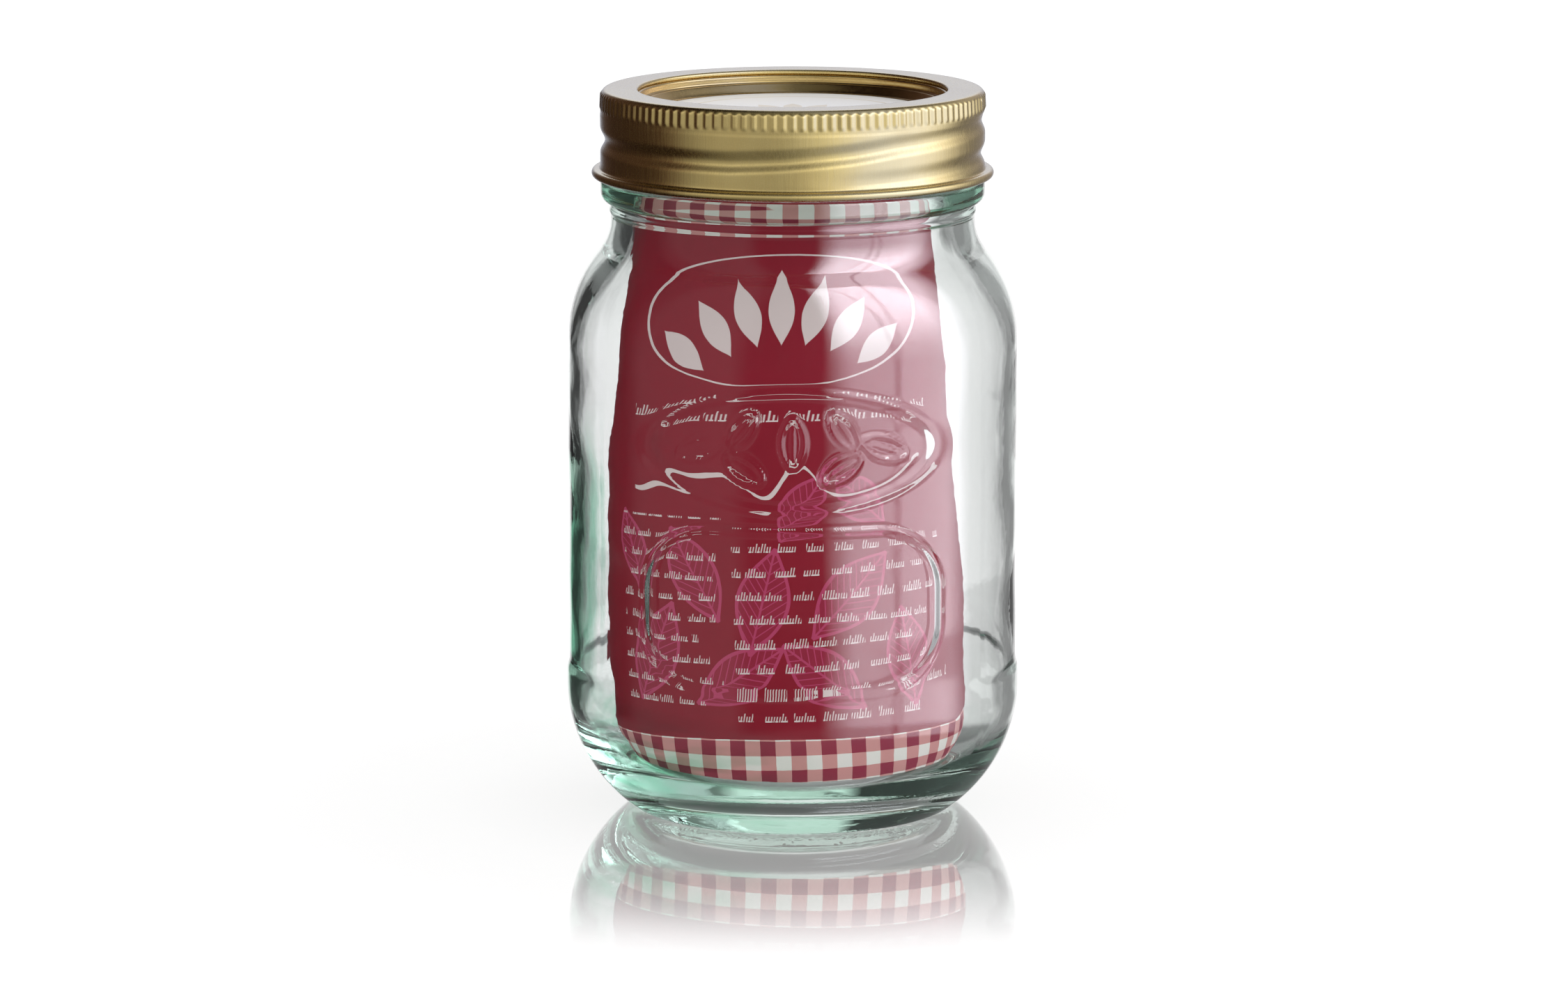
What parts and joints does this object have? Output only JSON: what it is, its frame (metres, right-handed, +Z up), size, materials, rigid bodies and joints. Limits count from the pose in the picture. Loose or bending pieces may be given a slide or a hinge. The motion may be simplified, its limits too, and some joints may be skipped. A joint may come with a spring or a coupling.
{
  "type": "preserving jar",
  "caption": "Clear glass preserving jar with a two-part gold screw lid and a rolled printed card standing inside.",
  "frame": {"origin": "centre of the jar's base on the plane it stands on", "axes": "+Z up along the jar's axis, -Y towards the printed front of the card"},
  "size_m": [0.0858, 0.0858, 0.1371],
  "materials": {
    "clear_glass": "clear, faintly green in the thick base",
    "gold_band": "gold-lacquered tinplate, lightly brushed",
    "gold_disc": "gold-lacquered tinplate",
    "seal_compound": "matt",
    "printed_card": "coated, printed on the outside, white inside"
  },
  "bodies": {
    "root": {"glass_jar": "clear_glass", "screw_band": "gold_band", "lid_disc": "gold_disc", "seal_ring": "seal_compound", "recipe_card": "printed_card"}
  },
  "joints": []
}
